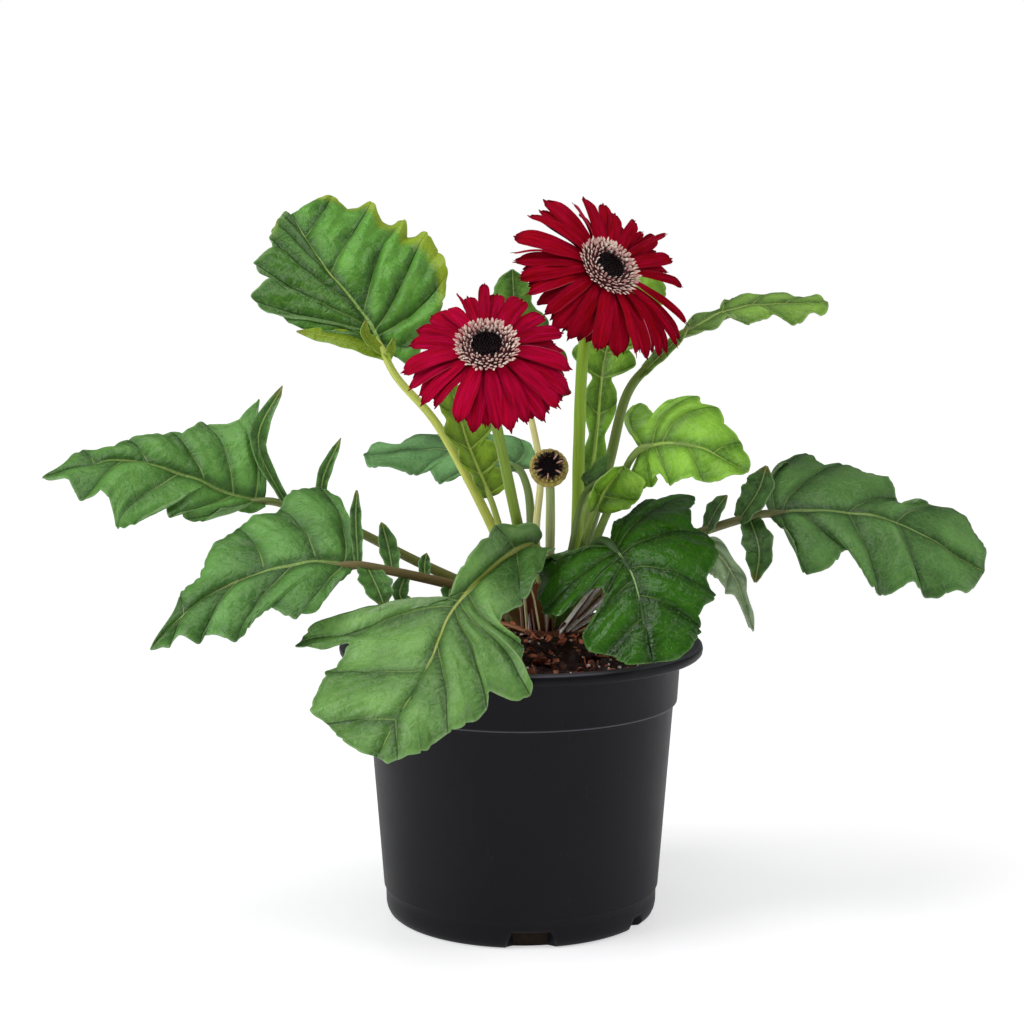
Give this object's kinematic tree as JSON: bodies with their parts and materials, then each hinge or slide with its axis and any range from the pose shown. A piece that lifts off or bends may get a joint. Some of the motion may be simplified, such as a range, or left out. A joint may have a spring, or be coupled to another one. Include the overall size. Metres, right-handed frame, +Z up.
{
  "type": "potted gerbera",
  "caption": "Flowering gerbera plant with a rosette of lobed leaves, open daisy flower heads and a bud, rooted in potting mix in a round nursery pot.",
  "frame": {"origin": "centre of the pot's base, on the surface it stands on", "axes": "+Z up along the pot's axis, +X along the plant's widest spread, towards its longest right-hand leaf, -Y towards the side that the flower heads face"},
  "size_m": [0.4224, 0.2294, 0.3251],
  "materials": {
    "pot_plastic": "matte black, faintly scuffed",
    "potting_mix": "loose damp bark and peat",
    "dried_stalk": "dry, fibrous",
    "leaf_mid": "satin leaf with paler veins",
    "leaf_old": "satin leaf with paler veins",
    "leaf_deep": "satin dark leaf",
    "leaf_bright": "satin young leaf with pale veins",
    "leaf_grey": "dull grey-green leaf",
    "flower_stalk": "satin, finely hairy",
    "ray_crimson": "velvety crimson petal",
    "ray_red": "velvety deep red petal",
    "floret_pale": "pale pink and cream florets",
    "floret_dark": "near-black florets",
    "bud_bract": "olive bracts"
  },
  "bodies": {
    "root": {"pot": "pot_plastic", "soil": "potting_mix", "old_leaf_bases": "dried_stalk", "leaf_high_left": "leaf_mid", "leaf_far_left": "leaf_old", "leaf_low_left": "leaf_old", "leaf_front_left": "leaf_mid", "leaf_front_right": "leaf_deep", "leaf_far_right": "leaf_old", "leaf_hanging_right": "leaf_grey", "leaf_high_right": "leaf_bright", "leaf_bright_right": "leaf_bright", "leaf_young_folded": "leaf_bright", "leaf_young_dark": "leaf_deep", "leaf_back_left": "leaf_grey", "leaf_young_toothed": "leaf_bright", "leaf_upright_back": "leaf_deep", "leaf_upright_right": "leaf_mid", "leaf_back_low": "leaf_mid", "leaf_back_hanging": "leaf_old", "flower_left_scape": "flower_stalk", "flower_left_rays": "ray_crimson", "flower_left_florets": "floret_pale", "flower_left_eye": "floret_dark", "flower_right_scape": "flower_stalk", "flower_right_rays": "ray_red", "flower_right_florets": "floret_pale", "flower_right_eye": "floret_dark", "bud_scape": "bud_bract", "bud_florets": "dried_stalk", "bud_eye": "floret_dark"}
  },
  "joints": []
}
